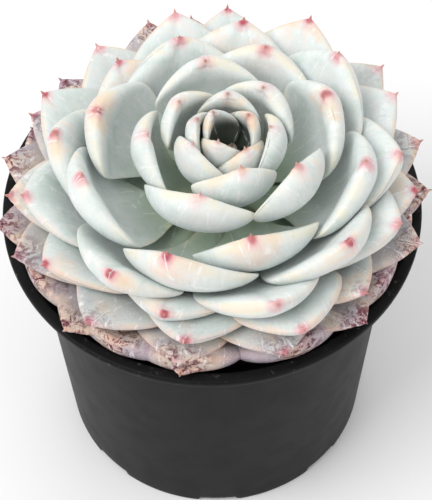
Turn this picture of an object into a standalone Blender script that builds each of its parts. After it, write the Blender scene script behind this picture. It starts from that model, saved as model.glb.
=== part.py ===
"""Potted succulent: a dense open rosette of fleshy leaves growing in a round nursery pot.

Metres, +Z up. The origin is the centre of the pot's underside and the front faces -Y.
Leaves are numbered along the growth spiral: age 0 and below are the heart, higher ages are older
and lower. leaf_01 is the youngest leaf outside the heart and leaf_56 the oldest.
"""
import math

import bpy
from mathutils.bvhtree import BVHTree

# Pot: a thin tapered wall, a flat lip carried on a flared collar, and a foot ring with drain notches.
POT_HEIGHT = 0.120
RIM_RADIUS = 0.075
RIM_LIP_WIDTH = 0.0042
RIM_LIP_THICKNESS = 0.0030
RIM_COLLAR_DROP = 0.0100
POT_NECK_RADIUS = 0.0657
POT_BASE_RADIUS = 0.0584
POT_WALL = 0.0018
POT_EDGE = 0.0009
FLOOR_RAISE = 0.0035
FLOOR_THICKNESS = 0.0020
FOOT_WIDTH = 0.0030
POT_STEPS = 72
NOTCH_COUNT = 8
NOTCH_WIDTH = 0.0150
NOTCH_HEIGHT = 0.0025
DRAIN_COUNT = 6
DRAIN_RADIUS = 0.0040
DRAIN_CIRCLE = 0.0340

# Soil and stem. TOUCH_GAP is the clearance left between any two pieces that meet.
TOUCH_GAP = 0.0003
SOIL_BELOW_RIM = 0.0215
SOIL_MOUND = 0.0020
STEM_DEPTH = 0.0180
STEM_RADIUS = 0.0112
STEM_STEPS = 24

# Rosette. The growing axis leans from the oldest leaf's foot towards the heart.
AXIS_LEAN_X = 0.0055
AXIS_LEAN_Y = -0.002
GOLDEN_ANGLE = math.radians(137.508)
FIRST_AZIMUTH = math.radians(-4.0)
YOUNGEST = -7
FIRST_LEAF = 4
OLDEST = 59
BASE_PITCH = 0.00058
LOWEST_BASE = 0.0025
HEART_SEAT = 0.0018
HEART_ROOT = 0.0020
CORE_INSET = 0.0005

# How a leaf changes as it ages: one value for each age in AGES. Elevations are in degrees.
# Base share is the width of the leaf's foot, and cup the rise of its margins, as parts of its width.
AGES = (-7, 0, 5, 10, 15, 20, 26, 34, 44, 60)
LEAF_LENGTH = (0.0250, 0.0345, 0.0434, 0.0507, 0.0572, 0.0608, 0.0632, 0.0645, 0.0672, 0.0689)
LEAF_WIDTH = (0.0165, 0.027, 0.038, 0.046, 0.047, 0.045, 0.042, 0.039, 0.037, 0.036)
LEAF_THICKNESS = (0.0036, 0.0052, 0.0066, 0.0077, 0.0078, 0.0074, 0.0068, 0.0060, 0.0052, 0.0046)
TIP_ELEVATION = (100, 116, 116, 108, 82, 60, 45, 31, 24, 22)
BASE_ELEVATION = (60.0, 38.0, 24.7, 7.5, 4.0, 6.9, 11.0, 15.8, 16.0, 15.4)
LEAF_CUP = (0.10, 0.09, 0.07, 0.06, 0.05, 0.04, 0.03, 0.02, 0.02, 0.02)
BEND = (0.8, 1.1, 1.5, 1.7, 1.8, 1.8, 1.7, 1.7, 1.7, 1.7)
BASE_SHARE = (0.36, 0.32, 0.26, 0.22, 0.20, 0.20, 0.20, 0.20, 0.20, 0.20)

# One leaf's outline and section, shared by all of them. Upper and lower share split its thickness
# about the middle surface, where it is hidden by other leaves and at its end. Wrap is how far its
# section follows the circle round the growing axis.
LEAF_WIDEST_AT = 0.70
LEAF_POINTING = 1.6
LEAF_ROUNDING = 0.9
LEAF_THICKEST_AT = 0.80
LEAF_SWELL = 3.0
LEAF_FOOT_THICKNESS = 0.30
LEAF_UPPER_SHARE = 0.12
LEAF_LOWER_SHARE = 0.72
END_UPPER_SHARE = 0.45
END_LOWER_SHARE = 0.55
LENS_HIDDEN = 1.2
LENS_SHOWN = 1.0
LEAF_WRAP = 0.8
LEAF_TIGHTEST = 0.004
LIFT_STEP = 0.5
LIFT_MOST = 30.0
CLIMB_STEP = 0.5
STATIONS = (0.0, 0.12, 0.28, 0.46, 0.62, 0.76, 0.88, 0.955)
AROUND = 8

# Leaves that lean sideways off the spiral's line: age and degrees of azimuth at the tip.
TIP_SWAY = {
    -7: 25, -6: -5, -3: 2, -2: 5, 0: -5, 1: 16, 2: 14, 3: 2, 5: -5, 7: 16, 8: 6, 9: 16, 10: -10,
    12: -3, 13: 1, 14: -14, 15: -8, 16: 4, 17: 4, 18: 1, 19: -8, 20: 10, 21: -9, 22: -12, 23: 6,
    24: 4, 26: 2, 27: -6, 28: 7, 30: -9, 31: -8, 32: 10, 35: -2, 36: -6, 37: -7, 38: 5, 39: -4,
    43: 6, 44: 1, 46: 2, 48: -9, 49: 6, 52: 5, 54: 7, 57: -13,
}

# Leaves that grew shorter or longer than their age would give.
LENGTH_TRIM = {
    -7: 1.12, -3: 0.90, 3: 0.92, 4: 0.94, 5: 1.10, 6: 0.92, 7: 0.94, 9: 1.08, 10: 1.03, 11: 0.93,
    12: 1.14, 13: 1.03, 14: 0.93, 15: 1.14, 16: 1.02, 17: 1.05, 18: 1.10, 19: 0.95, 20: 1.10,
    22: 0.86, 23: 1.10, 24: 1.04, 25: 1.03, 28: 0.94, 31: 1.08, 32: 1.03, 34: 0.97, 36: 0.97,
    37: 1.05, 39: 0.95, 43: 0.97, 48: 1.05, 49: 0.97, 57: 0.97,
}

# Degrees by which some leaves stand more steeply, or lie flatter, than their age would give.
BASE_RISE = {
    7: 10, 15: -2, 17: -3,
}


def at_age(values, age):
    for i in range(1, len(AGES)):
        if age <= AGES[i]:
            share = (age - AGES[i - 1]) / (AGES[i] - AGES[i - 1])
            return values[i - 1] + (values[i] - values[i - 1]) * share
    return values[-1]


def ease(x):
    x = min(max(x, 0.0), 1.0)
    return x * x * (3.0 - 2.0 * x)


def soil_top():
    return POT_HEIGHT - SOIL_BELOW_RIM


def base_height(age):
    return soil_top() + SOIL_MOUND + LOWEST_BASE + BASE_PITCH * (OLDEST - age)


def base_radius(age):
    return STEM_RADIUS * (1.0 - math.exp(-(age + 10.0) / 7.0))


def axis_at(age):
    share = (OLDEST - age) / (OLDEST - YOUNGEST)
    return AXIS_LEAN_X * share, AXIS_LEAN_Y * share


def width_share(s, base_share):
    if s < LEAF_WIDEST_AT:
        return base_share + (1.0 - base_share) * ease(s / LEAF_WIDEST_AT) ** 1.3
    y = (s - LEAF_WIDEST_AT) / (1.0 - LEAF_WIDEST_AT)
    return max(1.0 - y ** LEAF_POINTING, 0.0) ** LEAF_ROUNDING


def thickness_share(s):
    if s < LEAF_THICKEST_AT:
        return LEAF_FOOT_THICKNESS + (1.0 - LEAF_FOOT_THICKNESS) * ease(s / LEAF_THICKEST_AT) ** LEAF_SWELL
    y = (s - LEAF_THICKEST_AT) / (1.0 - LEAF_THICKEST_AT)
    return 1.0 - 0.75 * y ** 3


def leaf_spine(age, lift, climb):
    """The leaf's middle line as (radius, height, tilt), evenly spaced from foot to tip."""
    length = at_age(LEAF_LENGTH, age) * LENGTH_TRIM.get(age, 1.0)
    start = math.radians(at_age(BASE_ELEVATION, age) + BASE_RISE.get(age, 0.0))
    end = math.radians(at_age(TIP_ELEVATION, age))
    bend = at_age(BEND, age)
    foot = at_age(LEAF_THICKNESS, age) * LEAF_FOOT_THICKNESS * LEAF_UPPER_SHARE
    r = base_radius(age - climb) + TOUCH_GAP + foot * math.sin(start)
    if age < FIRST_LEAF:
        r -= HEART_ROOT
    z = base_height(age - climb)
    steps = 48
    line = []
    for i in range(steps + 1):
        s = i / steps
        tilt = start + (end - start) * s ** bend
        tilt += math.radians(lift) * ease(s * 2.5)
        line.append((r, z, tilt))
        r += math.cos(tilt) * length / steps
        z += math.sin(tilt) * length / steps
    return line


def along(line, s):
    i = min(int(s * (len(line) - 1)), len(line) - 2)
    share = s * (len(line) - 1) - i
    return [line[i][k] + (line[i + 1][k] - line[i][k]) * share for k in range(3)]


def leaf_mesh(age, lift, climb, grow):
    """Points and faces of one leaf; grow thickens it on every side."""
    line = leaf_spine(age, lift, climb)
    half_width = at_age(LEAF_WIDTH, age) / 2.0
    thickness = at_age(LEAF_THICKNESS, age)
    base_share = at_age(BASE_SHARE, age)
    azimuth = FIRST_AZIMUTH + GOLDEN_ANGLE * age
    sway = math.radians(TIP_SWAY.get(age, 0.0))
    ax, ay = axis_at(age - climb)
    points = []
    for s in STATIONS:
        r, z, tilt = along(line, s)
        w = half_width * width_share(s, base_share) + grow
        t = thickness * thickness_share(s)
        shown = ease((s - 0.5) / 0.35)
        up = t * (LEAF_UPPER_SHARE + (END_UPPER_SHARE - LEAF_UPPER_SHARE) * shown) + grow
        down = t * (LEAF_LOWER_SHARE + (END_LOWER_SHARE - LEAF_LOWER_SHARE) * shown) + grow
        cup = at_age(LEAF_CUP, age) * ease(s * 1.6)
        lens = LENS_HIDDEN + (LENS_SHOWN - LENS_HIDDEN) * shown
        turn = azimuth + sway * s ** 1.5
        for k in range(AROUND):
            u = math.cos(2.0 * math.pi * k / AROUND)
            side = up if k < AROUND / 2 else -down
            off = cup * w * u * u + side * (1.0 - u * u) ** lens
            rr = r - math.sin(tilt) * off
            curl = max(rr, LEAF_TIGHTEST) / LEAF_WRAP
            out = rr - curl * (1.0 - math.cos(u * w / curl))
            across = curl * math.sin(u * w / curl)
            x = ax + out * math.cos(turn) - across * math.sin(turn)
            y = ay + out * math.sin(turn) + across * math.cos(turn)
            points.append((x, y, z + math.cos(tilt) * off))
    r, z, tilt = along(line, 1.0)
    points.append((ax + r * math.cos(azimuth + sway), ay + r * math.sin(azimuth + sway), z))

    faces = []
    for i in range(len(STATIONS) - 1):
        for k in range(AROUND):
            a = i * AROUND + k
            b = i * AROUND + (k + 1) % AROUND
            faces.append((a, b, b + AROUND))
            faces.append((a, b + AROUND, a + AROUND))
    last = (len(STATIONS) - 1) * AROUND
    for k in range(AROUND):
        faces.append((last + k, last + (k + 1) % AROUND, last + AROUND))
    half = AROUND // 2
    faces.append((0, AROUND - 1, 1))
    for k in range(1, half - 1):
        faces.append((k, AROUND - k, AROUND - k - 1))
        faces.append((k, AROUND - k - 1, k + 1))
    faces.append((half - 1, half + 1, half))
    return points, faces


def pot_profile():
    """Half section of the pot, from the middle of its underside round to the middle of its floor."""
    slope = (POT_NECK_RADIUS - POT_BASE_RADIUS) / POT_HEIGHT
    top = POT_HEIGHT
    collar = top - RIM_COLLAR_DROP
    lip_inner = RIM_RADIUS - RIM_LIP_WIDTH
    neck = POT_BASE_RADIUS + slope * collar
    floor_top = FLOOR_RAISE + FLOOR_THICKNESS
    return [
        (0.0, FLOOR_RAISE),
        (POT_BASE_RADIUS - FOOT_WIDTH - POT_EDGE, FLOOR_RAISE),
        (POT_BASE_RADIUS - FOOT_WIDTH, FLOOR_RAISE - POT_EDGE),
        (POT_BASE_RADIUS - FOOT_WIDTH, 0.0),
        (POT_BASE_RADIUS - POT_EDGE, 0.0),
        (POT_BASE_RADIUS, POT_EDGE),
        (neck, collar),
        (RIM_RADIUS - POT_EDGE * 2.0, top - RIM_LIP_THICKNESS),
        (RIM_RADIUS, top - RIM_LIP_THICKNESS + POT_EDGE),
        (RIM_RADIUS, top - POT_EDGE),
        (RIM_RADIUS - POT_EDGE, top),
        (lip_inner + POT_EDGE, top),
        (lip_inner, top - POT_EDGE),
        (neck - POT_WALL, collar),
        (POT_BASE_RADIUS + slope * floor_top - POT_WALL, floor_top),
        (0.0, floor_top),
    ]


def inner_radius(z):
    slope = (POT_NECK_RADIUS - POT_BASE_RADIUS) / POT_HEIGHT
    return POT_BASE_RADIUS + slope * z - POT_WALL


def soil_profile():
    low = FLOOR_RAISE + FLOOR_THICKNESS + TOUCH_GAP
    edge = soil_top()
    hole = STEM_RADIUS + TOUCH_GAP
    crown = edge + SOIL_MOUND
    rings = [(0.0, low), (inner_radius(low) - TOUCH_GAP, low), (inner_radius(edge) - TOUCH_GAP, edge)]
    for share in (0.8, 0.6, 0.4):
        rings.append((inner_radius(edge) * share, edge + SOIL_MOUND * ease(1.0 - share * 0.9)))
    rings.append((hole, crown))
    rings.append((hole, crown - STEM_DEPTH))
    rings.append((0.0, crown - STEM_DEPTH))
    return rings


def stem_rings():
    """(radius, height, age) of the stem's rings, from its buried foot to the heart's seat."""
    foot = soil_top() + SOIL_MOUND - STEM_DEPTH + TOUCH_GAP
    top_age = FIRST_LEAF - 1
    top = base_height(top_age) - HEART_SEAT - TOUCH_GAP
    rings = [(STEM_RADIUS * 0.9, foot, OLDEST), (STEM_RADIUS, foot + POT_EDGE, OLDEST)]
    for age in (OLDEST, 40, 24, 14, 9):
        rings.append((base_radius(age), base_height(age), age))
    rings.append((base_radius(top_age + 1), top, top_age + 1))
    return rings


def core_rings():
    """(radius, height, age) of the bud that the heart's leaves grow from."""
    rings = [(base_radius(FIRST_LEAF - 1) - CORE_INSET, base_height(FIRST_LEAF - 1) - HEART_SEAT, FIRST_LEAF - 1)]
    for age in (1, -2, -5, YOUNGEST):
        rings.append((base_radius(age) - CORE_INSET, base_height(age), age))
    rings.append((0.0015, base_height(YOUNGEST) + 0.0025, YOUNGEST))
    return rings


def ring_solid(rings, steps, closed_hollow):
    """Triangles of a stack of rings. rings holds (radius, height, centre x, centre y)."""
    points = []
    for r, z, cx, cy in rings:
        for k in range(steps):
            a = 2.0 * math.pi * k / steps
            points.append((cx + r * math.cos(a), cy + r * math.sin(a), z))
    low = len(points)
    points.append((rings[0][2], rings[0][3], closed_hollow[0]))
    points.append((rings[-1][2], rings[-1][3], closed_hollow[1]))
    faces = []
    for k in range(steps):
        j = (k + 1) % steps
        faces.append((low, j, k))
        for i in range(len(rings) - 1):
            a = i * steps + k
            b = i * steps + j
            faces.append((a, b, b + steps))
            faces.append((a, b + steps, a + steps))
        end = (len(rings) - 1) * steps
        faces.append((end + k, end + j, low + 1))
    return points, faces


def revolved(profile, steps):
    rings = [(r, z, 0.0, 0.0) for r, z in profile[1:-1]]
    return ring_solid(rings, steps, (profile[0][1], profile[-1][1]))


def stacked(rings, steps):
    placed_rings = [(r, z) + axis_at(age) for r, z, age in rings]
    return ring_solid(placed_rings, steps, (rings[0][1], rings[-1][1]))


def add_object(name, shape, smooth):
    points, faces = shape
    mesh = bpy.data.meshes.new(name)
    mesh.from_pydata(points, [], faces)
    mesh.update()
    for face in mesh.polygons:
        face.use_smooth = smooth
    obj = bpy.data.objects.new(name, mesh)
    bpy.context.scene.collection.objects.link(obj)
    return obj


def add_cutter(name, shape):
    cutter = add_object(name, shape, False)
    cutter.hide_render = True
    cutter.display_type = "WIRE"
    return cutter


def add_boolean(obj, other, operation):
    modifier = obj.modifiers.new(other.name, "BOOLEAN")
    modifier.operation = operation
    modifier.solver = "EXACT"
    modifier.object = other


def box_shape(radius_in, radius_out, width, low, high, azimuth):
    points = []
    for z in (low, high):
        for r, side in ((radius_in, -1), (radius_out, -1), (radius_out, 1), (radius_in, 1)):
            y = side * width / 2.0
            x_turned = r * math.cos(azimuth) - y * math.sin(azimuth)
            y_turned = r * math.sin(azimuth) + y * math.cos(azimuth)
            points.append((x_turned, y_turned, z))
    faces = [(0, 3, 2, 1), (4, 5, 6, 7), (0, 1, 5, 4), (1, 2, 6, 5), (2, 3, 7, 6), (3, 0, 4, 7)]
    return points, faces


def joined(shapes):
    points = []
    faces = []
    for more_points, more_faces in shapes:
        shift = len(points)
        points += more_points
        faces += [tuple(i + shift for i in face) for face in more_faces]
    return points, faces


def give_material(obj, colour, roughness):
    material = bpy.data.materials.new(obj.name)
    material.use_nodes = True
    shader = material.node_tree.nodes["Principled BSDF"]
    shader.inputs["Base Color"].default_value = (*colour, 1.0)
    shader.inputs["Roughness"].default_value = roughness
    obj.data.materials.append(material)


def touches(trial, obstacles):
    return any(trial.overlap(tree) for tree in obstacles)


def settle(obstacles, heart_leaves):
    """Lays the leaves from oldest to youngest, raising each until it clears all it could touch.

    A leaf that no lift can clear climbs the stem, by a part of the spiral's step, and tries again.
    """
    stances = {}
    for age in range(OLDEST, YOUNGEST - 1, -1):
        lift = 0.0
        climb = 0.0
        while touches(BVHTree.FromPolygons(*leaf_mesh(age, lift, climb, TOUCH_GAP)), obstacles):
            lift += LIFT_STEP
            if lift > LIFT_MOST:
                lift = 0.0
                climb += CLIMB_STEP
        stances[age] = (lift, climb)
        if age not in heart_leaves:
            obstacles.append(BVHTree.FromPolygons(*leaf_mesh(age, lift, climb, 0.0)))
    return stances


for old in list(bpy.data.objects):
    bpy.data.objects.remove(old, do_unlink=True)

# Pot
pot_shape = revolved(pot_profile(), POT_STEPS)
pot = add_object("pot", pot_shape, True)
notches = []
for k in range(NOTCH_COUNT):
    turn = 2.0 * math.pi * k / NOTCH_COUNT
    notches.append(box_shape(POT_BASE_RADIUS - FOOT_WIDTH * 2.0, POT_BASE_RADIUS + FOOT_WIDTH,
                             NOTCH_WIDTH, -NOTCH_HEIGHT, NOTCH_HEIGHT, turn))
add_boolean(pot, add_cutter("notch_cutter", joined(notches)), "DIFFERENCE")
drains = []
for k in range(DRAIN_COUNT):
    turn = 2.0 * math.pi * (k + 0.5) / DRAIN_COUNT
    cx = DRAIN_CIRCLE * math.cos(turn)
    cy = DRAIN_CIRCLE * math.sin(turn)
    span = (FLOOR_RAISE - FLOOR_THICKNESS, FLOOR_RAISE + FLOOR_THICKNESS * 2.0)
    drains.append(ring_solid([(DRAIN_RADIUS, z, cx, cy) for z in span], 16, span))
add_boolean(pot, add_cutter("drain_cutter", joined(drains)), "DIFFERENCE")
give_material(pot, (0.020, 0.020, 0.022), 0.45)

# Soil
soil = add_object("soil", revolved(soil_profile(), POT_STEPS), True)
give_material(soil, (0.035, 0.022, 0.014), 0.95)

# Stem
stem = add_object("stem", stacked(stem_rings(), STEM_STEPS), True)
give_material(stem, (0.20, 0.17, 0.10), 0.80)

# Leaves
heart_ages = set(range(YOUNGEST, FIRST_LEAF))
fixed = [BVHTree.FromPolygons(*pot_shape), BVHTree.FromPolygons(*stacked(stem_rings(), STEM_STEPS))]
stances = settle(fixed, heart_ages)
for age in range(FIRST_LEAF, OLDEST + 1):
    leaf = add_object("leaf_%02d" % (age - FIRST_LEAF + 1), leaf_mesh(age, *stances[age], 0.0), True)
    give_material(leaf, (0.52, 0.62, 0.55), 0.60)

# Heart: the innermost leaves, grown together at the bud.
heart = add_object("heart", stacked(core_rings(), STEM_STEPS), True)
for age in sorted(heart_ages):
    tool = add_cutter("heart_leaf_%02d" % (age - YOUNGEST + 1), leaf_mesh(age, *stances[age], 0.0))
    add_boolean(heart, tool, "UNION")
give_material(heart, (0.55, 0.66, 0.56), 0.60)
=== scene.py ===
import math

import bmesh
import bpy
import numpy as np
from mathutils import Matrix, Vector


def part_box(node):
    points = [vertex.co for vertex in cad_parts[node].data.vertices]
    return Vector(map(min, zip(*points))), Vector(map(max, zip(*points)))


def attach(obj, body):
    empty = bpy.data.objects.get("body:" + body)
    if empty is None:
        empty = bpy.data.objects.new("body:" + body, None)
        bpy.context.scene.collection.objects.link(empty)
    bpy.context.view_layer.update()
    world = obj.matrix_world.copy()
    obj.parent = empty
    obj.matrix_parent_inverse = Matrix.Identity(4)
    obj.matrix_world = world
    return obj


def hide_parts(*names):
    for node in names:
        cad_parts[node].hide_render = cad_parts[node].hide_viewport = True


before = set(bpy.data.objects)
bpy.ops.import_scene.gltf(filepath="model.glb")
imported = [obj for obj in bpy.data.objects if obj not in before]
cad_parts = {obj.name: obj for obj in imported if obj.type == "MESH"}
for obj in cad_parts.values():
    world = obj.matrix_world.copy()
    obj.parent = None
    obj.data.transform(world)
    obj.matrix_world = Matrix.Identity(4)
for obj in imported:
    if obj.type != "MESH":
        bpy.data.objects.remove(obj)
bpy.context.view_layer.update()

# Nursery pot: one injection moulding in matt black plastic, a thin tapered wall with a flat lip on a
# flared collar, a foot ring with eight drain notches, and six drain holes in its raised floor.
pot_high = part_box("pot")[1]
POT_HEIGHT = pot_high.z
RIM_RADIUS = pot_high.x
LIP_WIDTH = 0.0042
LIP_THICKNESS = 0.0030
COLLAR_DROP = 0.0100
NECK_RADIUS = 0.0657
FOOT_RADIUS = 0.0584
WALL = 0.0018
EDGE_ROUND = 0.0009
CORNER_ROUNDS = (0, 0.0006, 0.0006, 0.0009, 0.0016, 0.0008, 0.0010, 0.0012, 0.0011, 0.0010, 0.0016, 0.0012)
FLOOR_RAISE = 0.0035
FLOOR_THICKNESS = 0.0020
FOOT_WIDTH = 0.0030
NOTCH_COUNT = 8
NOTCH_WIDTH = 0.0150
NOTCH_HEIGHT = 0.0025
NOTCH_CORNER = 0.0012
DRAIN_COUNT = 6
DRAIN_RADIUS = 0.0040
DRAIN_CIRCLE = 0.0340
CUT_PAST = 0.002
POT_STEPS = 480
DRAIN_STEPS = 32
WALL_LEVELS = 12
WALL_MARGIN = 0.004
DUST_DEPTH = 0.012
SPLASH_TOP = 0.016
POT_BLACK = (0.0058, 0.0058, 0.0062)
WORN_BLACK = (0.0074, 0.0074, 0.0079)
STREAK_GREY = (0.0105, 0.0105, 0.0112)
DUST_COLOUR = (0.16, 0.145, 0.12)
SPLASH_COLOUR = (0.10, 0.088, 0.07)


def ease(x):
    x = np.clip(x, 0.0, 1.0)
    return x * x * (3.0 - 2.0 * x)


def rounded(corner, before, after, radius, steps=5):
    """Points of a rounded corner between its two neighbours."""
    corner = np.array(corner)
    into = np.array(before) - corner
    out = np.array(after) - corner
    a = corner + into / np.linalg.norm(into) * radius
    b = corner + out / np.linalg.norm(out) * radius
    t = np.linspace(0.0, 1.0, steps)[:, None]
    return list((1 - t) ** 2 * a + 2 * t * (1 - t) * corner + t ** 2 * b)


def turned(profile, steps):
    """Points and faces of a profile turned about the upright axis; both ends lie on the axis."""
    ring = np.array(profile[1:-1])
    turn = np.linspace(0.0, 2.0 * math.pi, steps, endpoint=False)
    x = ring[:, 0:1] * np.cos(turn)
    y = ring[:, 0:1] * np.sin(turn)
    z = np.repeat(ring[:, 1:2], steps, axis=1)
    points = np.stack([x, y, z], axis=-1).reshape(-1, 3)
    ends = np.array([[0.0, 0.0, profile[0][1]], [0.0, 0.0, profile[-1][1]]])
    points = np.concatenate([points, ends])
    faces = []
    for i in range(len(ring) - 1):
        for k in range(steps):
            a = i * steps + k
            b = i * steps + (k + 1) % steps
            faces.append((a, b, b + steps, a + steps))
    first = len(points) - 2
    top = (len(ring) - 1) * steps
    for k in range(steps):
        faces.append((first, (k + 1) % steps, k))
        faces.append((first + 1, top + k, top + (k + 1) % steps))
    return points, faces


def make_piece(name, points, faces, replaced=()):
    """A mesh piece that rides with the plant."""
    mesh = bpy.data.meshes.new(name)
    mesh.from_pydata(np.asarray(points).tolist(), [], faces)
    mesh.validate()
    mesh.polygons.foreach_set("use_smooth", [True] * len(mesh.polygons))
    piece = bpy.data.objects.new(name, mesh)
    bpy.context.scene.collection.objects.link(piece)
    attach(piece, "root")
    if replaced:
        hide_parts(*replaced)
    return piece


class Finish:
    """A procedural finish: its nodes feed one principled shader."""

    def __init__(self, name):
        self.material = bpy.data.materials.new(name)
        self.material.use_nodes = True
        self.tree = self.material.node_tree
        self.shader = self.tree.nodes["Principled BSDF"]

    def put(self, kind, sockets=None, **settings):
        node = self.tree.nodes.new(kind)
        for key, value in settings.items():
            setattr(node, key, value)
        for key, value in (sockets or {}).items():
            self.feed(node.inputs[key], value)
        return node

    def feed(self, socket, value):
        if isinstance(value, bpy.types.NodeSocket):
            self.tree.links.new(value, socket)
        elif isinstance(value, tuple) and len(value) == 3 and len(socket.default_value) == 4:
            socket.default_value = (*value, 1.0)
        else:
            socket.default_value = value

    def set(self, **values):
        for key, value in values.items():
            self.feed(self.shader.inputs[key.replace("_", " ")], value)

    def mix(self, share, a, b, blend="MIX"):
        node = self.put("ShaderNodeMix", data_type="RGBA", blend_type=blend)
        self.feed(node.inputs[0], share)
        self.feed(node.inputs[6], a)
        self.feed(node.inputs[7], b)
        return node.outputs[2]

    def reach(self, value, low, high, out_low=0.0, out_high=1.0):
        """Smooth step of a value between two limits."""
        node = self.put("ShaderNodeMapRange", interpolation_type="SMOOTHSTEP")
        for key, item in zip((0, 1, 2, 3, 4), (value, low, high, out_low, out_high)):
            self.feed(node.inputs[key], item)
        return node.outputs[0]

    def maths(self, kind, a, b=0.0):
        node = self.put("ShaderNodeMath", operation=kind)
        self.feed(node.inputs[0], a)
        self.feed(node.inputs[1], b)
        return node.outputs[0]

    def place(self, scale=(1.0, 1.0, 1.0)):
        where = self.put("ShaderNodeTexCoord").outputs["Object"]
        return self.put("ShaderNodeMapping", {"Vector": where, "Scale": scale}).outputs[0]

    def noise(self, where, scale, detail=3.0, rough=0.55, twist=0.0):
        inputs = {"Vector": where, "Scale": scale, "Detail": detail}
        inputs.update({"Roughness": rough, "Distortion": twist})
        return self.put("ShaderNodeTexNoise", inputs).outputs["Fac"]

    def cells(self, where, scale, feature="F1"):
        inputs = {"Vector": where, "Scale": scale}
        return self.put("ShaderNodeTexVoronoi", inputs, feature=feature).outputs["Distance"]

    def measure(self, name):
        return self.put("ShaderNodeAttribute", attribute_name=name).outputs["Fac"]

    def bump(self, height, strength, distance, under=None):
        node = self.put("ShaderNodeBump", {"Height": height, "Strength": strength, "Distance": distance})
        if under:
            self.feed(node.inputs["Normal"], under)
        return node.outputs[0]


slope = (NECK_RADIUS - FOOT_RADIUS) / POT_HEIGHT
collar = POT_HEIGHT - COLLAR_DROP
lip_under = POT_HEIGHT - LIP_THICKNESS
lip_inner = RIM_RADIUS - LIP_WIDTH
neck = FOOT_RADIUS + slope * collar
floor_top = FLOOR_RAISE + FLOOR_THICKNESS
corners = [
    (0.0, FLOOR_RAISE),
    (FOOT_RADIUS - FOOT_WIDTH, FLOOR_RAISE),
    (FOOT_RADIUS - FOOT_WIDTH, 0.0),
    (FOOT_RADIUS, 0.0),
    (neck, collar),
    (RIM_RADIUS - EDGE_ROUND * 2.0, lip_under),
    (RIM_RADIUS, lip_under),
    (RIM_RADIUS, POT_HEIGHT),
    (lip_inner, POT_HEIGHT),
    (lip_inner - WALL * 0.4, lip_under),
    (neck - WALL, collar),
    (FOOT_RADIUS + slope * floor_top - WALL, floor_top),
    (0.0, floor_top),
]
profile = [corners[0]]
for i in range(1, len(corners) - 1):
    if corners[i] == (neck, collar):
        for z in np.linspace(WALL_MARGIN, collar - WALL_MARGIN, WALL_LEVELS):
            profile.append((FOOT_RADIUS + slope * z, z))
    bend = rounded(corners[i], corners[i - 1], corners[i + 1], CORNER_ROUNDS[i])
    profile += [tuple(p) for p in bend]
profile.append(corners[-1])
points, faces = turned(profile, POT_STEPS)
azimuth = np.arctan2(points[:, 1], points[:, 0])
pitch = 2.0 * math.pi / NOTCH_COUNT
off_notch = np.abs((azimuth + pitch / 2.0) % pitch - pitch / 2.0) * FOOT_RADIUS
notch = NOTCH_HEIGHT * ease((NOTCH_WIDTH / 2.0 + NOTCH_CORNER / 2.0 - off_notch) / NOTCH_CORNER)
low_part = np.hypot(points[:, 0], points[:, 1]) > FOOT_RADIUS - FOOT_WIDTH * 1.6
points[:, 2] = np.where(low_part, np.maximum(points[:, 2], notch), points[:, 2])
pot = make_piece("nursery_pot", points, faces, ["pot"])

drains = bpy.data.meshes.new("drain_cutter")
drain_points = []
drain_faces = []
for k in range(DRAIN_COUNT):
    turn = 2.0 * math.pi * (k + 0.5) / DRAIN_COUNT
    first = len(drain_points)
    for z in (FLOOR_RAISE - CUT_PAST, floor_top + CUT_PAST):
        for j in range(DRAIN_STEPS):
            a = 2.0 * math.pi * j / DRAIN_STEPS
            x = DRAIN_CIRCLE * math.cos(turn) + DRAIN_RADIUS * math.cos(a)
            y = DRAIN_CIRCLE * math.sin(turn) + DRAIN_RADIUS * math.sin(a)
            drain_points.append((x, y, z))
    upper_ring = first + DRAIN_STEPS
    drain_faces.append([first + j for j in reversed(range(DRAIN_STEPS))])
    drain_faces.append([upper_ring + j for j in range(DRAIN_STEPS)])
    for j in range(DRAIN_STEPS):
        n = (j + 1) % DRAIN_STEPS
        drain_faces.append((first + j, first + n, upper_ring + n, upper_ring + j))
drains.from_pydata(drain_points, [], drain_faces)
cutter = bpy.data.objects.new("drain_cutter", drains)
bpy.context.scene.collection.objects.link(cutter)
cut = pot.modifiers.new("drain_holes", "BOOLEAN")
cut.object = cutter
cut.operation = "DIFFERENCE"
cut.solver = "EXACT"
bpy.context.view_layer.update()
whole = bpy.data.meshes.new_from_object(pot.evaluated_get(bpy.context.evaluated_depsgraph_get()))
pot.modifiers.clear()
pot.data = whole
pot.data.polygons.foreach_set("use_smooth", [True] * len(pot.data.polygons))
bpy.data.objects.remove(cutter)

plastic = Finish("black_plastic")
where = plastic.place()
round_wall = plastic.place((1.0, 1.0, 0.12))
grain = plastic.noise(where, 2600.0, 2.0)
cloud = plastic.noise(where, 26.0, 4.0)
streak = plastic.noise(round_wall, 210.0, 3.0)
dust = plastic.noise(where, 420.0, 5.0, 0.7)
height_on = plastic.put("ShaderNodeSeparateXYZ", {0: where}).outputs[2]
black = plastic.mix(plastic.reach(cloud, 0.35, 0.7), POT_BLACK, WORN_BLACK)
black = plastic.mix(plastic.reach(streak, 0.55, 0.8, 0.0, 0.35), black, STREAK_GREY)
near_rim = plastic.reach(height_on, POT_HEIGHT - DUST_DEPTH, POT_HEIGHT)
dusty = plastic.maths("MULTIPLY", near_rim, plastic.reach(dust, 0.60, 0.72, 0.0, 0.5))
black = plastic.mix(dusty, black, DUST_COLOUR)
near_foot = plastic.reach(height_on, SPLASH_TOP, 0.001)
splash = plastic.maths("MULTIPLY", near_foot, plastic.reach(dust, 0.62, 0.78, 0.0, 0.4))
black = plastic.mix(splash, black, SPLASH_COLOUR)
rough = plastic.reach(plastic.noise(where, 90.0, 4.0), 0.3, 0.75, 0.44, 0.50)
relief = plastic.bump(grain, 0.10, 0.0002)
relief = plastic.bump(streak, 0.05, 0.0004, relief)
plastic.set(Base_Color=black, Roughness=rough, Normal=relief, Specular_IOR_Level=0.10)
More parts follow.
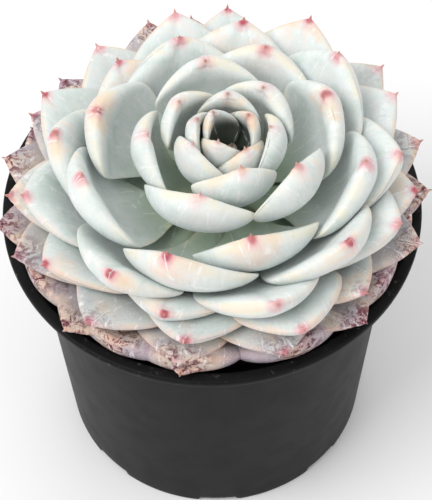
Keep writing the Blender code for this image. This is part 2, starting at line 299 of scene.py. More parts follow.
pot.data.materials.clear()
pot.data.materials.append(plastic.material)

# Potting soil: damp dark peat with grit and a little pumice. It is filled to about 20 mm below the rim
# and heaped a little round the stem; loose crumbs lie on top of it.
soil_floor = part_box("soil")[0].z
TOUCH_GAP = 0.0003
SOIL_BELOW_RIM = 0.0215
SOIL_TOP = POT_HEIGHT - SOIL_BELOW_RIM
SOIL_MOUND = 0.0020
MOUND_CROWN = 0.012
MOUND_SLOPE = 0.040
SOIL_REACH = FOOT_RADIUS + slope * SOIL_TOP - WALL - TOUCH_GAP
SOIL_RINGS = 70
SOIL_STEPS = 220
LUMP_WAVES = 26
LUMP_HEIGHT = 0.00065
CRUMB_COUNT = 900
CRUMB_SIZES = (0.0005, 0.0012)
BIG_CRUMB = 1.9
PEAT_DARK = (0.010, 0.0065, 0.0045)
PEAT_BROWN = (0.042, 0.028, 0.018)
PEAT_PALE = (0.065, 0.046, 0.030)
CRUMB_DARK = (0.016, 0.011, 0.007)
CRUMB_BROWN = (0.075, 0.050, 0.032)
PUMICE_DARK = (0.20, 0.175, 0.14)
PUMICE_PALE = (0.46, 0.43, 0.37)


def soil_height(r):
    return SOIL_TOP + SOIL_MOUND * (1.0 - ease((r - MOUND_CROWN) / MOUND_SLOPE))


draw = np.random.default_rng(11)
rings = np.linspace(0.0, 1.0, SOIL_RINGS)[1:] ** 0.9
soil_profile = [(0.0, soil_floor)]
soil_profile.append((FOOT_RADIUS + slope * soil_floor - WALL - TOUCH_GAP, soil_floor))
soil_profile.append((SOIL_REACH, SOIL_TOP - 0.003))
soil_profile += [(SOIL_REACH * r, float(soil_height(SOIL_REACH * r))) for r in rings[::-1]]
soil_profile.append((0.0, SOIL_TOP + SOIL_MOUND))
points, faces = turned(soil_profile, SOIL_STEPS)
lump = np.zeros(len(points))
for wave in range(LUMP_WAVES):
    k = draw.normal(0.0, 1.0, 2)
    k *= draw.uniform(120.0, 900.0) / np.hypot(*k)
    phase = draw.uniform(0, 6.28)
    lump += np.sin(points[:, 0] * k[0] + points[:, 1] * k[1] + phase) * 90.0 / np.hypot(*k)
radius = np.hypot(points[:, 0], points[:, 1])
on_top = (points[:, 2] > SOIL_TOP - 0.001) & (radius < SOIL_REACH - 0.0002)
points[:, 2] += np.where(on_top, np.clip(lump, -1.6, 1.6) * LUMP_HEIGHT, 0.0)
soil = make_piece("potting_soil", points, faces, ["soil"])

ball = bmesh.new()
bmesh.ops.create_icosphere(ball, subdivisions=2, radius=1.0)
crumb_points = np.array([v.co[:] for v in ball.verts])
crumb_faces = np.array([[v.index for v in f.verts] for f in ball.faces])
ball.free()
all_points = []
all_faces = []
crumb_kind = []
for k in range(CRUMB_COUNT):
    r = SOIL_REACH * 0.97 * math.sqrt(draw.uniform(0.03, 1.0))
    a = draw.uniform(0.0, 2.0 * math.pi)
    size = draw.uniform(*CRUMB_SIZES) * (BIG_CRUMB if k % 11 == 0 else 1.0)
    r = min(r, SOIL_REACH - size * 1.5)
    squash = draw.uniform(0.6, 1.15, 3)
    bent = crumb_points @ draw.normal(0.0, 2.2, (3, 3))
    bumps = 1.0 + 0.16 * np.sin(bent + draw.uniform(0, 6.28, 3)).sum(axis=1)
    shape = crumb_points * squash * bumps[:, None] * size
    shape += np.array([r * math.cos(a), r * math.sin(a), float(soil_height(r)) + size * 0.35])
    all_faces.append(crumb_faces + len(crumb_points) * k)
    all_points.append(shape)
    crumb_kind.append(np.full(len(crumb_points), draw.uniform()))
crumbs = make_piece("soil_crumbs", np.concatenate(all_points), np.concatenate(all_faces).tolist())


def give_measure(piece, name, values):
    """Writes one number for each point, for the finish to read."""
    layer = piece.data.attributes.new(name, "FLOAT", "POINT")
    layer.data.foreach_set("value", np.ascontiguousarray(values, dtype=np.float32))


give_measure(crumbs, "kind", np.concatenate(crumb_kind))

peat = Finish("damp_peat")
where = peat.place()
grain = peat.noise(where, 900.0, 6.0, 0.7)
patch = peat.noise(where, 120.0, 4.0)
earth = peat.mix(peat.reach(grain, 0.35, 0.68), PEAT_DARK, PEAT_BROWN)
earth = peat.mix(peat.reach(patch, 0.45, 0.72, 0.0, 0.6), earth, PEAT_PALE)
relief = peat.bump(grain, 0.7, 0.0009)
peat.set(Base_Color=earth, Roughness=peat.reach(patch, 0.3, 0.7, 0.72, 0.96), Normal=relief)
soil.data.materials.append(peat.material)

grit = Finish("grit_crumbs")
where = grit.place()
kind = grit.measure("kind")
grain = grit.noise(where, 1500.0, 5.0, 0.7)
dark = grit.mix(grain, CRUMB_DARK, CRUMB_BROWN)
pale = grit.mix(grain, PUMICE_DARK, PUMICE_PALE)
crumb = grit.mix(grit.reach(kind, 0.88, 0.90), dark, pale)
relief = grit.bump(grain, 0.6, 0.0004)
grit.set(Base_Color=crumb, Roughness=grit.reach(grain, 0.3, 0.7, 0.7, 0.95), Normal=relief)
crumbs.data.materials.append(grit.material)

# Stem: the plant's short woody stem, ringed by the scars of fallen leaves. It is rooted in the soil and
# every leaf grows from it.
stem_low, stem_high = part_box("stem")
STEM_LEAN = (0.0055, -0.0020)
STEM_RADIUS = 0.0112
STEM_LEVELS = 90
STEM_STEPS = 96
BARK_INSET = 0.00065
SCAR_DEPTH = 0.00022
OLDEST = 59
YOUNGEST = -7
BASE_PITCH = 0.00058
LOWEST_BASE = SOIL_TOP + SOIL_MOUND + 0.0025
BARK_GREEN = (0.055, 0.060, 0.030)
BARK_BROWN = (0.120, 0.090, 0.055)
BARK_PALE = (0.20, 0.16, 0.11)


def stem_girth(age):
    """The stem's radius where the leaf of an age grows; it tapers off at the heart."""
    return STEM_RADIUS * (1.0 - np.exp(-(age + 10.0) / 7.0))


def tube_faces(rows, cols):
    """Faces of a closed tube of rings, with a face over each end."""
    faces = []
    for i in range(rows - 1):
        for k in range(cols):
            a = i * cols + k
            b = i * cols + (k + 1) % cols
            faces.append((a, b, b + cols, a + cols))
    faces.append(list(reversed(range(cols))))
    faces.append([(rows - 1) * cols + k for k in range(cols)])
    return faces


stem_levels = np.linspace(stem_low.z, stem_high.z, STEM_LEVELS)
stem_turns = np.linspace(0.0, 2.0 * math.pi, STEM_STEPS, endpoint=False)
level, turn = np.meshgrid(stem_levels, stem_turns, indexing="ij")
age_there = OLDEST - (level - LOWEST_BASE) / BASE_PITCH
lean = np.clip((OLDEST - age_there) / (OLDEST - YOUNGEST), 0.0, 1.0)
scars = SCAR_DEPTH * np.sin(turn * 8.0 + level * 2600.0) * np.sin(turn * 5.0 - level * 1900.0)
girth = stem_girth(np.clip(age_there, YOUNGEST, OLDEST)) + scars - BARK_INSET
x = STEM_LEAN[0] * lean + girth * np.cos(turn)
y = STEM_LEAN[1] * lean + girth * np.sin(turn)
points = np.stack([x, y, level], axis=-1).reshape(-1, 3)
stem = make_piece("stem", points, tube_faces(STEM_LEVELS, STEM_STEPS), ["stem"])

bark = Finish("green_brown_bark")
where = bark.place()
grain = bark.noise(where, 700.0, 5.0, 0.65, 0.6)
patch = bark.noise(where, 150.0, 3.0)
skin = bark.mix(bark.reach(patch, 0.35, 0.65), BARK_GREEN, BARK_BROWN)
skin = bark.mix(bark.reach(grain, 0.5, 0.75, 0.0, 0.7), skin, BARK_PALE)
relief = bark.bump(grain, 0.5, 0.0006)
bark.set(Base_Color=skin, Roughness=bark.reach(grain, 0.3, 0.7, 0.65, 0.9), Normal=relief)
stem.data.materials.append(bark.material)

# Leaves: thick, water-filled leaves on a golden-angle spiral, pressed into one another. Each is cupped,
# with a rounded margin and a short hard point, and its skin carries a chalky bloom over pale green.
# One value for each age in AGES; elevations are in degrees.
GOLDEN_ANGLE = math.radians(137.508)
FIRST_AZIMUTH = math.radians(-4.0)
FIRST_LEAF = 4
HEART_ROOT = 0.0020
AGES = (-7, 0, 5, 10, 15, 20, 26, 34, 44, 60)
LEAF_LENGTH = (0.0250, 0.0345, 0.0434, 0.0507, 0.0572, 0.0608, 0.0632, 0.0645, 0.0672, 0.0689)
LEAF_WIDTH = (0.0165, 0.027, 0.038, 0.046, 0.047, 0.045, 0.042, 0.039, 0.037, 0.036)
LEAF_THICKNESS = (0.0036, 0.0052, 0.0066, 0.0077, 0.0078, 0.0074, 0.0068, 0.0060, 0.0052, 0.0046)
TIP_ELEVATION = (100, 116, 116, 108, 82, 60, 45, 31, 24, 22)
BASE_ELEVATION = (60.0, 38.0, 24.7, 7.5, 4.0, 6.9, 11.0, 15.8, 16.0, 15.4)
LEAF_CUP = (0.10, 0.09, 0.07, 0.06, 0.05, 0.04, 0.03, 0.02, 0.02, 0.02)
BEND = (0.8, 1.1, 1.5, 1.7, 1.8, 1.8, 1.7, 1.7, 1.7, 1.7)
BASE_SHARE = (0.36, 0.32, 0.26, 0.22, 0.20, 0.20, 0.20, 0.20, 0.20, 0.20)
WIDEST_AT = 0.70
POINTING = 1.6
ROUNDING = 0.9
THICKEST_AT = 0.80
SWELL = 3.0
FOOT_THICKNESS = 0.30
UPPER_SHARE = 0.12
LOWER_SHARE = 0.72
END_UPPER_SHARE = 0.45
END_LOWER_SHARE = 0.55
LENS_HIDDEN = 1.2
LENS_SHOWN = 1.0
LIFT_STEP = 0.5
LIFT_MOST = 30.0
LEAF_WRAP = 0.8
TIGHTEST = 0.004
TIP_SWAY = {
    -7: 25, -6: -5, -3: 2, -2: 5, 0: -5, 1: 16, 2: 14, 3: 2, 5: -5, 7: 16, 8: 6, 9: 16, 10: -10,
    12: -3, 13: 1, 14: -14, 15: -8, 16: 4, 17: 4, 18: 1, 19: -8, 20: 10, 21: -9, 22: -12, 23: 6,
    24: 4, 26: 2, 27: -6, 28: 7, 30: -9, 31: -8, 32: 10, 35: -2, 36: -6, 37: -7, 38: 5, 39: -4,
    43: 6, 44: 1, 46: 2, 48: -9, 49: 6, 52: 5, 54: 7, 57: -13,
}
LENGTH_TRIM = {
    -7: 1.12, -3: 0.90, 3: 0.92, 4: 0.94, 5: 1.10, 6: 0.92, 7: 0.94, 9: 1.08, 10: 1.03, 11: 0.93,
    12: 1.14, 13: 1.03, 14: 0.93, 15: 1.14, 16: 1.02, 17: 1.05, 18: 1.10, 19: 0.95, 20: 1.10,
    22: 0.86, 23: 1.10, 24: 1.04, 25: 1.03, 28: 0.94, 31: 1.08, 32: 1.03, 34: 0.97, 36: 0.97,
    37: 1.05, 39: 0.95, 43: 0.97, 48: 1.05, 49: 0.97, 57: 0.97,
}
BASE_RISE = {7: 10, 15: -2, 17: -3}
PLAIN_STATIONS = np.array([0.0, 0.12, 0.28, 0.46, 0.62, 0.76, 0.88, 0.955])
PLAIN_AROUND = 8
SPINE_STEPS = 48
POINT_LENGTH = 0.0014
POINT_ROOT = 0.0016
POINT_RADIUS = 0.0009
BLADE_STATIONS = 56
POINT_STATIONS = 7
LEAF_AROUND = 56
LEAF_SEED = 1000
WAVINESS = 0.026
PLUMPNESS = 1.08
KEEL = 0.08
GROOVE = 0.0005
DENT = 0.00040
DENT_WAVES = 7
LEAST_RADIUS = 0.00008
YEARS_SPAN = 70.0
THIN_BLOOM = (0.510, 0.610, 0.545)
BLOOM = (0.725, 0.765, 0.765)
THICK_BLOOM = (0.800, 0.815, 0.810)
CHALK = (0.850, 0.860, 0.860)
RUBBED_GREEN = (0.520, 0.590, 0.520)
BASE_GREEN_AND_SHADE = (0.300, 0.430, 0.260)
LOW_LEAF_SHADE_GREEN = (0.460, 0.510, 0.500)
CREAM = (0.790, 0.770, 0.560)
PEACH = (0.800, 0.560, 0.400)
WARM_EDGE = (0.760, 0.500, 0.420)
ROSE = (0.740, 0.330, 0.370)
CRIMSON = (0.400, 0.030, 0.070)
POINT_BROWN = (0.520, 0.220, 0.180)
HEART_SHADE_GREEN = (0.050, 0.072, 0.052)
LILAC = (0.400, 0.285, 0.345)
APRICOT = (0.600, 0.430, 0.340)
WOUND = (0.130, 0.018, 0.035)
CRUST = (0.900, 0.885, 0.885)
SCUFF = (0.880, 0.885, 0.880)
SPECK = (0.200, 0.190, 0.130)


def at_age(values, age):
    return float(np.interp(age, AGES, values))


def grown(age, **own):
    """The sizes of one leaf: what its age gives, unless it has its own."""
    leaf = {
        "length": at_age(LEAF_LENGTH, age) * LENGTH_TRIM.get(age, 1.0),
        "width": at_age(LEAF_WIDTH, age),
        "thickness": at_age(LEAF_THICKNESS, age),
        "start": at_age(BASE_ELEVATION, age) + BASE_RISE.get(age, 0.0),
        "end": at_age(TIP_ELEVATION, age),
        "bend": at_age(BEND, age),
        "foot": age,
        "heading": math.degrees(FIRST_AZIMUTH + GOLDEN_ANGLE * age),
        "sway": TIP_SWAY.get(age, 0.0),
        "lift": 0.0,
        "widest": WIDEST_AT,
        "pointing": POINTING,
        "rounding": ROUNDING,
    }
    leaf.update(own)
    return leaf


def spine_of(age, leaf):
    """The leaf's middle line from foot to tip: radius, height and tilt at even steps."""
    start = math.radians(leaf["start"])
    end = math.radians(leaf["end"])
    foot = leaf["thickness"] * FOOT_THICKNESS * UPPER_SHARE
    s = np.linspace(0.0, 1.0, SPINE_STEPS + 1)
    tilt = start + (end - start) * s ** leaf["bend"] + math.radians(leaf["lift"]) * ease(s * 2.5)
    step = leaf["length"] / SPINE_STEPS
    r = stem_girth(leaf["foot"]) + TOUCH_GAP + foot * math.sin(start)
    r -= HEART_ROOT if age < FIRST_LEAF else 0.0
    r = r + np.concatenate([[0.0], np.cumsum(np.cos(tilt[:-1]) * step)])
    z = LOWEST_BASE + BASE_PITCH * (OLDEST - leaf["foot"])
    z = z + np.concatenate([[0.0], np.cumsum(np.sin(tilt[:-1]) * step)])
    return s, r, z, tilt


def width_share(s, age, leaf):
    base_share = at_age(BASE_SHARE, age)
    wide = base_share + (1.0 - base_share) * ease(s / leaf["widest"]) ** 1.3
    y = np.clip((s - leaf["widest"]) / (1.0 - leaf["widest"]), 0.0, 1.0)
    narrow = np.maximum(1.0 - y ** leaf["pointing"], 0.0) ** leaf["rounding"]
    return np.where(s < leaf["widest"], wide, narrow)


def thickness_share(s):
    thin = FOOT_THICKNESS + (1.0 - FOOT_THICKNESS) * ease(s / THICKEST_AT) ** SWELL
    y = np.clip((s - THICKEST_AT) / (1.0 - THICKEST_AT), 0.0, 1.0)
    return np.where(s < THICKEST_AT, thin, 1.0 - 0.75 * y ** 3)


def sides(s):
    """How a leaf's thickness is split above and below its middle surface."""
    shown = ease((s - 0.5) / 0.35)
    above = UPPER_SHARE + (END_UPPER_SHARE - UPPER_SHARE) * shown
    below = LOWER_SHARE + (END_LOWER_SHARE - LOWER_SHARE) * shown
    return above, below


def on_plant(leaf, turn, r, z, tilt, off, reach):
    """Points at a height and a sideways reach off the leaf's middle line, round the leaning axis."""
    lean = (OLDEST - leaf["foot"]) / (OLDEST - YOUNGEST)
    rr = r - np.sin(tilt) * off
    curl = np.maximum(rr, TIGHTEST) / LEAF_WRAP
    out = rr - curl * (1.0 - np.cos(reach / curl))
    across = curl * np.sin(reach / curl)
    x = STEM_LEAN[0] * lean + out * np.cos(turn) - across * np.sin(turn)
    y = STEM_LEAN[1] * lean + out * np.sin(turn) + across * np.cos(turn)
    return np.stack([x, y, z + np.cos(tilt) * off], axis=-1)


def heading_of(leaf, s):
    return math.radians(leaf["heading"]) + math.radians(leaf["sway"]) * s ** 1.5


def plain_leaf_box(age, leaf):
    """Corners of the box round the plain leaf that this one stands for."""
    s0, r0, z0, t0 = spine_of(age, leaf)
    s = np.append(PLAIN_STATIONS, 1.0)[:, None]
    r, z, tilt = (np.interp(s, s0, v) for v in (r0, z0, t0))
    solid = np.where(s < 1.0, 1.0, 0.0)
    w = leaf["width"] / 2.0 * width_share(s, age, leaf) * solid
    t = leaf["thickness"] * thickness_share(s) * solid
    u = np.cos(2.0 * math.pi * np.arange(PLAIN_AROUND) / PLAIN_AROUND)[None, :]
    above, below = sides(s)
    side = np.where(np.arange(PLAIN_AROUND) < PLAIN_AROUND / 2, t * above, -t * below)
    lens = LENS_HIDDEN + (LENS_SHOWN - LENS_HIDDEN) * ease((s - 0.5) / 0.35)
    cup = at_age(LEAF_CUP, age) * ease(s * 1.6) * w * u * u
    off = cup + side * np.maximum(1.0 - u * u, 0.0) ** lens
    points = on_plant(leaf, heading_of(leaf, s), r, z, tilt, off, u * w).reshape(-1, 3)
    return np.concatenate([points.min(axis=0), points.max(axis=0)])


def settled(age):
    """How far the leaves below hold this one up: the lift whose box matches the plain leaf's."""
    low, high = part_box("leaf_%02d" % (age - FIRST_LEAF + 1))
    box = np.array([*low, *high])
    lifts = np.arange(0.0, LIFT_MOST + LIFT_STEP, LIFT_STEP)
    misses = [np.abs(plain_leaf_box(age, grown(age, lift=lift)) - box).max() for lift in lifts]
    return float(lifts[int(np.argmin(misses))])


def uneven_margin(draw, s, u):
    """How much wider or narrower each side of a leaf grew, along its length."""
    waves = draw.uniform(6.0, 12.0, 2)
    wavy = 1.0 + np.sign(u) * draw.uniform(-0.05, 0.05) * ease(s * 2.0)
    for k in range(2):
        side_wave = np.sin(s * waves[k] * (1.0 + 0.3 * np.sign(u)) + draw.uniform(0, 6.28))
        wavy = wavy + WAVINESS * side_wave * np.abs(u) * ease(s * 3.0) * ease((1.0 - s) * 5.0)
    return wavy


def shallow_dents(draw, s, u):
    """Hollows and swellings of a leaf's faces, fading out at its foot and its point."""
    dents = 0.0 * s * u
    for k in range(DENT_WAVES):
        ks = draw.uniform(3.0, 14.0)
        ku = draw.uniform(1.0, 5.0) * draw.choice([-1.0, 1.0])
        dents += np.sin(ks * s + ku * u + draw.uniform(0, 6.28)) / (3.0 + ks * 0.35)
    return dents * ease(s / 0.25) * ease((1.0 - s) / 0.08) * DENT


def full_leaf(name, age, leaf, replaced=()):
    """One finished leaf: rounded margins, keel, hard point and the unevenness of a grown thing."""
    draw = np.random.default_rng(LEAF_SEED + age)
    length = leaf["length"]
    s0, r0, z0, t0 = spine_of(age, leaf)
    blade = 1.0 - (1.0 - np.linspace(0.0, 1.0, BLADE_STATIONS)) ** 1.5
    point = np.linspace(0.0, 1.0, POINT_STATIONS + 1)[1:] * POINT_LENGTH / length
    s = np.concatenate([blade, 1.0 + point])[:, None]
    inside = np.minimum(s, 1.0)
    past = (s - inside) * length
    r, z, tilt = (np.interp(inside, s0, v) for v in (r0, z0, t0))
    r = r + np.cos(tilt) * past
    z = z + np.sin(tilt) * past
    around = 2.0 * math.pi * np.arange(LEAF_AROUND) / LEAF_AROUND
    u = np.cos(around)[None, :]
    flat = np.abs(u)
    upper = np.sin(around)[None, :] >= 0.0
    to_point = np.clip(((s - 1.0) * length + POINT_ROOT) / (POINT_LENGTH + POINT_ROOT), 0.0, 1.0)
    spike = np.where(s * length > length - POINT_ROOT, POINT_RADIUS * (1.0 - to_point) ** 0.85, 0.0)
    spike = spike + LEAST_RADIUS
    blade_half = leaf["width"] / 2.0 * np.where(s < 1.0, width_share(inside, age, leaf), 0.0)
    w = np.sqrt((blade_half * uneven_margin(draw, s, u)) ** 2 + spike ** 2)
    blunt = np.sqrt(np.clip(1.0 - np.clip((s - 0.90) / 0.10, 0.0, 1.0) ** 2.2, 0.0, 1.0))
    t = leaf["thickness"] * PLUMPNESS * thickness_share(inside) * blunt
    above, below = sides(s)
    over = (1.0 - flat ** 2.8) ** 0.55
    under = (1.0 - flat ** 2.3) ** 0.62
    keel = 1.0 + KEEL * np.exp(-((u / 0.25) ** 2)) * ease((s - 0.45) / 0.4)
    top = np.sqrt((t * above) ** 2 + spike ** 2) * over
    bottom = np.sqrt((t * below * keel) ** 2 + spike ** 2) * under
    cup = at_age(LEAF_CUP, age) * ease(s * 1.6) * blade_half * u * u
    off = cup + np.where(upper, top, -bottom)
    groove = GROOVE * np.exp(-((u / 0.14) ** 2)) * ease((s - 0.45) / 0.3) * ease((1.0 - s) / 0.06)
    off = off - np.where(upper, groove, 0.0)
    off = off + shallow_dents(draw, s, u) * np.where(upper, 1.0, -1.0)
    points = on_plant(leaf, heading_of(leaf, inside), r, z, tilt, off, u * w)
    piece = make_piece(name, points.reshape(-1, 3), tube_faces(*points.shape[:2]), replaced)
    across = u * w
    to_tip = np.sqrt(((1.0 - inside) * length) ** 2 + across ** 2)
    to_edge = np.minimum(w * (1.0 - flat ** 1.5), (1.0 - inside) * length * 0.8 + 0.002)
    over_all = np.ones_like(to_edge)
    measures = {
        "to_edge": to_edge * 1000.0,
        "to_tip": (to_tip + past) * 1000.0,
        "spike": over_all * to_point,
        "along": over_all * s * length * 1000.0,
        "along_share": over_all * s,
        "across": over_all * across * 1000.0,
        "upper": over_all * (0.5 + 0.5 * np.sin(around)[None, :]),
        "years": over_all * min(max((age - YOUNGEST) / YEARS_SPAN, 0.0), 1.0),
        "luck": over_all * draw.uniform(),
    }
    for measure, values in measures.items():
        give_measure(piece, measure, values.ravel())
    return piece


skin = Finish("bloomed_leaf_skin")
where = skin.place()
edge = skin.measure("to_edge")
tip = skin.measure("to_tip")
along = skin.measure("along_share")
spike = skin.measure("spike")
years = skin.measure("years")
luck = skin.measure("luck")
on_top = skin.measure("upper")
shift = skin.put("ShaderNodeCombineXYZ", {0: luck, 1: luck, 2: years}).outputs[0]
own = skin.put("ShaderNodeVectorMath", {0: where, 1: shift}, operation="ADD").outputs[0]
length_mm = skin.measure("along")
across_mm = skin.measure("across")
lane = skin.maths("MULTIPLY", length_mm, 0.22)
apart = skin.maths("MULTIPLY", luck, 50.0)
grown_way = skin.put("ShaderNodeCombineXYZ", {0: lane, 1: across_mm, 2: apart}).outputs[0]
broad = skin.noise(own, 55.0, 4.0, 0.6, 0.8)
middle = skin.noise(own, 190.0, 5.0, 0.62, 0.5)
fine = skin.noise(own, 900.0, 4.0, 0.65)
powder = skin.noise(own, 2600.0, 3.0, 0.7)
blotch = skin.noise(own, 330.0, 5.0, 0.7, 1.2)
veins = skin.noise(grown_way, 0.55, 4.0, 0.6, 1.6)
scuff = skin.cells(grown_way, 0.13, "DISTANCE_TO_EDGE")
scuff_line = skin.maths("ADD", scuff, skin.maths("MULTIPLY", blotch, 0.05))
# Bloom over green: whiter where the chalk lies thick, greener where it is thin or rubbed off.
body = skin.mix(skin.reach(broad, 0.28, 0.62, 0.35, 1.0), THIN_BLOOM, BLOOM)
body = skin.mix(skin.reach(middle, 0.38, 0.68, 0.0, 0.45), body, THICK_BLOOM)
body = skin.mix(skin.reach(veins, 0.56, 0.70, 0.0, 0.35), body, CHALK)
body = skin.mix(skin.reach(veins, 0.44, 0.32, 0.0, 0.30), body, RUBBED_GREEN)
# Greener towards each leaf's foot: partly the leaf's own green under thinner bloom, partly painted shade
# in the crevices between the leaves.
body = skin.mix(skin.reach(along, 0.58, 0.15, 0.0, 0.70), body, BASE_GREEN_AND_SHADE)
# Painted shade: the older, lower leaves are painted a darker grey-green for the shade they lie in under
# the younger leaves.
low_leaf_painted_shade = skin.reach(years, 0.42, 0.74, 0.0, 0.55)
body = skin.mix(low_leaf_painted_shade, body, LOW_LEAF_SHADE_GREEN)
# Cream and yellow-green on the shoulders of the margins.
cream_share = skin.maths("MULTIPLY", skin.reach(edge, 5.0, 0.8), skin.reach(broad, 0.42, 0.66, 0.0, 0.62))
body = skin.mix(cream_share, body, CREAM)
# Peach in patches beside the point, and rose round it; older leaves colour more.
peach_reach = skin.maths("MULTIPLY", skin.reach(tip, 17.0, 4.0), skin.reach(broad, 0.46, 0.66, 0.0, 0.70))
peach_share = skin.maths("MULTIPLY", peach_reach, skin.reach(luck, 0.10, 0.75, 0.15, 0.9))
body = skin.mix(peach_share, body, PEACH)
warm_edge = skin.maths("MULTIPLY", skin.reach(edge, 2.6, 0.5), skin.reach(years, 0.20, 0.70, 0.05, 0.60))
warm_edge = skin.maths("MULTIPLY", warm_edge, skin.reach(broad, 0.34, 0.58, 0.2, 1.0))
body = skin.mix(warm_edge, body, WARM_EDGE)
rose_reach = skin.maths("MULTIPLY", skin.reach(tip, 5.0, 1.0), skin.reach(middle, 0.34, 0.62, 0.30, 0.9))
rose_share = skin.maths("MULTIPLY", rose_reach, skin.reach(years, 0.06, 0.32, 0.25, 1.0))
body = skin.mix(rose_share, body, ROSE)
crimson_reach = skin.maths("MULTIPLY", skin.reach(tip, 2.4, 0.7), skin.reach(luck, 0.25, 0.9, 0.15, 0.95))
crimson = skin.maths("MULTIPLY", crimson_reach, skin.reach(years, 0.10, 0.30, 0.2, 1.0))
body = skin.mix(crimson, body, CRIMSON)
body = skin.mix(skin.reach(spike, 0.25, 0.75, 0.0, 0.7), body, POINT_BROWN)
# Painted shade: deep in the heart the upper faces of the youngest leaves are painted a dark, bloomless
# green for the shade in the hollow.
heart_painted_shade = skin.maths("MULTIPLY", skin.reach(on_top, 0.50, 0.62), skin.reach(years, 0.085, 0.045))
heart_painted_shade = skin.maths("MULTIPLY", heart_painted_shade, skin.reach(along, 0.98, 0.62, 0.10, 0.93))
body = skin.mix(heart_painted_shade, body, HEART_SHADE_GREEN)
# Old leaves turn lilac and apricot, with crusts of chalk and dark wounds near the point.
lilac = skin.mix(skin.reach(broad, 0.42, 0.60), LILAC, APRICOT)
outer = skin.maths("MULTIPLY", skin.reach(years, 0.60, 0.90), skin.reach(along, 0.40, 0.95, 0.10, 0.85))
outer = skin.maths("MULTIPLY", outer, skin.reach(middle, 0.30, 0.60, 0.55, 1.0))
body = skin.mix(outer, body, lilac)
wound_reach = skin.maths("MULTIPLY", skin.reach(tip, 14.0, 3.0), skin.reach(blotch, 0.46, 0.57))
wound = skin.maths("MULTIPLY", wound_reach, skin.reach(years, 0.55, 0.85))
body = skin.mix(wound, body, WOUND)
crust_reach = skin.maths("MULTIPLY", skin.reach(powder, 0.56, 0.63), skin.reach(middle, 0.46, 0.60))
crust = skin.maths("MULTIPLY", crust_reach, skin.reach(years, 0.20, 0.85, 0.12, 0.95))
body = skin.mix(crust, body, CRUST)
scuff_share = skin.reach(middle, 0.48, 0.60, 0.0, 0.55)
scuffs = skin.maths("MULTIPLY", skin.reach(scuff_line, 0.060, 0.035), scuff_share)
body = skin.mix(scuffs, body, SCUFF)
dots = skin.reach(skin.cells(own, 330.0), 0.085, 0.050, 0.0, 0.6)
specks = skin.maths("MULTIPLY", dots, skin.reach(middle, 0.54, 0.60))
body = skin.mix(specks, body, SPECK)
rough = skin.reach(middle, 0.3, 0.75, 0.48, 0.66)
relief = skin.bump(fine, 0.14, 0.0005)
relief = skin.bump(powder, 0.18, 0.00015, relief)
relief = skin.bump(veins, 0.16, 0.0012, relief)
relief = skin.bump(crust, 0.50, 0.0005, relief)
skin.set(Base_Color=body, Roughness=rough, Normal=relief, Specular_IOR_Level=0.36)
skin.set(Subsurface_Weight=0.12, Subsurface_Scale=0.004, Subsurface_Radius=(1.0, 0.75, 0.45))

for age in range(FIRST_LEAF, OLDEST + 1):
    number = age - FIRST_LEAF + 1
    leaf = grown(age, lift=settled(age))
    piece = full_leaf("leaf_piece_%02d" % number, age, leaf, ["leaf_%02d" % number])
    piece.data.materials.append(skin.material)

# Heart: the youngest leaves, still closed round the growing point, and the bud deep between them.
# They are grown together at their feet.
BUD_LEAVES = 6
BUD_LENGTH = 0.0135
BUD_WIDTH = 0.0078
BUD_THICKNESS = 0.0018
BUD_START = 58.0
BUD_END = 96.0
BUD_SHORTER = 0.07
BUD_NARROWER = 0.08
BUD_PITCH = 0.3

for age in range(YOUNGEST - BUD_LEAVES, FIRST_LEAF):
    leaf = grown(age)
    if age < YOUNGEST:
        step = YOUNGEST - age
        bud_length = BUD_LENGTH * (1.0 - BUD_SHORTER * step)
        bud_width = BUD_WIDTH * (1.0 - BUD_NARROWER * step)
        leaf = grown(age, length=bud_length, width=bud_width, thickness=BUD_THICKNESS,
                     start=BUD_START, end=BUD_END, foot=YOUNGEST - BUD_PITCH * step)
    piece = full_leaf("heart_leaf_%02d" % (age - YOUNGEST + BUD_LEAVES + 1), age, leaf, ["heart"])
    piece.data.materials.append(skin.material)

# Lowest leaves: the oldest, half-spent leaves, leaning out to the pot's rim under the rest.
# They have turned lilac and apricot, and their ends are blunt and swollen.
SPENT_COUNT = 11
SPENT_LENGTH = 0.0665
SPENT_WIDTH = 0.0430
SPENT_THICKNESS = 0.0088
SPENT_BEND = 2.6
SPENT_START = 9.0
SPENT_END = 62.0
SPENT_WIDEST = 0.80
SPENT_POINTING = 2.2
SPENT_ROUNDING = 0.60

for k in range(SPENT_COUNT):
    age = OLDEST + 1 + k
    leaf = grown(age, length=SPENT_LENGTH, width=SPENT_WIDTH, thickness=SPENT_THICKNESS,
                 start=SPENT_START, end=SPENT_END, bend=SPENT_BEND, foot=OLDEST,
                 widest=SPENT_WIDEST, pointing=SPENT_POINTING, rounding=SPENT_ROUNDING)
    piece = full_leaf("spent_leaf_%02d" % (k + 1), age, leaf)
    piece.data.materials.append(skin.material)

# Floor: one wide sheet of matt pale paper that the pot stands on.
# It lies a hair below the pot's foot, so the two never touch.
FLOOR_HALF = 3
FLOOR_DROP = 0.0002
FLOOR_COLOUR = (0.86, 0.86, 0.86)

floor_mesh = bpy.data.meshes.new("floor")
sheet = [(-FLOOR_HALF, -FLOOR_HALF, 0), (FLOOR_HALF, -FLOOR_HALF, 0)]
sheet += [(FLOOR_HALF, FLOOR_HALF, 0), (-FLOOR_HALF, FLOOR_HALF, 0)]
floor_mesh.from_pydata(sheet, [], [(0, 1, 2, 3)])
floor = bpy.data.objects.new("floor", floor_mesh)
floor.location.z = -FLOOR_DROP
bpy.context.scene.collection.objects.link(floor)
paper = Finish("pale_floor")
paper.set(Base_Color=FLOOR_COLOUR, Roughness=0.85)
floor_mesh.materials.append(paper.material)

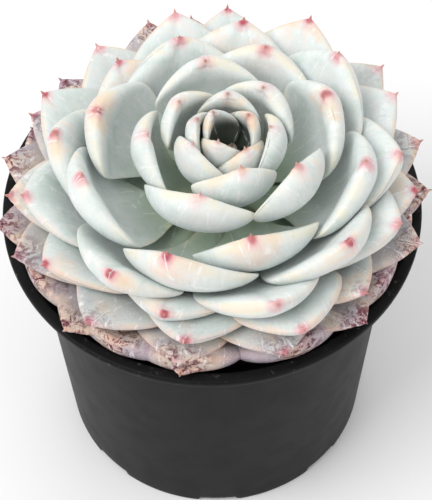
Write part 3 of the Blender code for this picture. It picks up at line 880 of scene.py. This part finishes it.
# Lights: three square softboxes, the strong one at the upper left in front, in a white room.
# Each has its place, its power in watts and its side, and all point at the top of the soil.
SOFTBOXES = (
    ("key_light", (-0.9, -0.5, 1.5), 18.5, 1.1),
    ("fill_light", (1.1, -0.7, 1.1), 3.0, 1.2),
    ("back_light", (0.2, 1.3, 1.3), 6.0, 1.2),
)
LIT_POINT = Vector((0.0, 0.0, 0.10))
ROOM_LIGHT = 0.72

for name, spot, power, size in SOFTBOXES:
    lamp = bpy.data.lights.new(name, "AREA")
    lamp.energy = power
    lamp.size = size
    light = bpy.data.objects.new(name, lamp)
    light.location = spot
    light.rotation_euler = (LIT_POINT - Vector(spot)).to_track_quat("-Z", "Y").to_euler()
    bpy.context.scene.collection.objects.link(light)

world = bpy.data.worlds.new("studio")
world.use_nodes = True
world.node_tree.nodes["Background"].inputs[0].default_value = (1.0, 1.0, 1.0, 1.0)
world.node_tree.nodes["Background"].inputs[1].default_value = ROOM_LIGHT
bpy.context.scene.world = world
bpy.context.scene.view_settings.view_transform = "Standard"

# Camera: a long lens above and in front of the plant, aimed at the upper part of the pot.
# It is turned a degree about its own line of sight.
AIM = Vector((0.0011, 0.0, 0.0895))
ELEVATION = math.radians(55.64)
DISTANCE = 0.6819
ROLL = math.radians(-1.06)
LENS = 132.1
SENSOR_WIDTH = 36.0

back = Vector((0.0, -math.cos(ELEVATION), math.sin(ELEVATION)))
ahead = -back
right = Vector((1.0, 0.0, 0.0))
upward = right.cross(ahead)
right_rolled = math.cos(ROLL) * right + math.sin(ROLL) * upward
up_rolled = -math.sin(ROLL) * right + math.cos(ROLL) * upward
spot = AIM + back * DISTANCE
camera_data = bpy.data.cameras.new("camera")
camera_data.lens = LENS
camera_data.sensor_width = SENSOR_WIDTH
camera_data.clip_start = 0.01
camera = bpy.data.objects.new("camera", camera_data)
bpy.context.scene.collection.objects.link(camera)
camera.matrix_world = Matrix((
    (right_rolled.x, up_rolled.x, back.x, spot.x),
    (right_rolled.y, up_rolled.y, back.y, spot.y),
    (right_rolled.z, up_rolled.z, back.z, spot.z),
    (0.0, 0.0, 0.0, 1.0),
))
bpy.context.scene.camera = camera
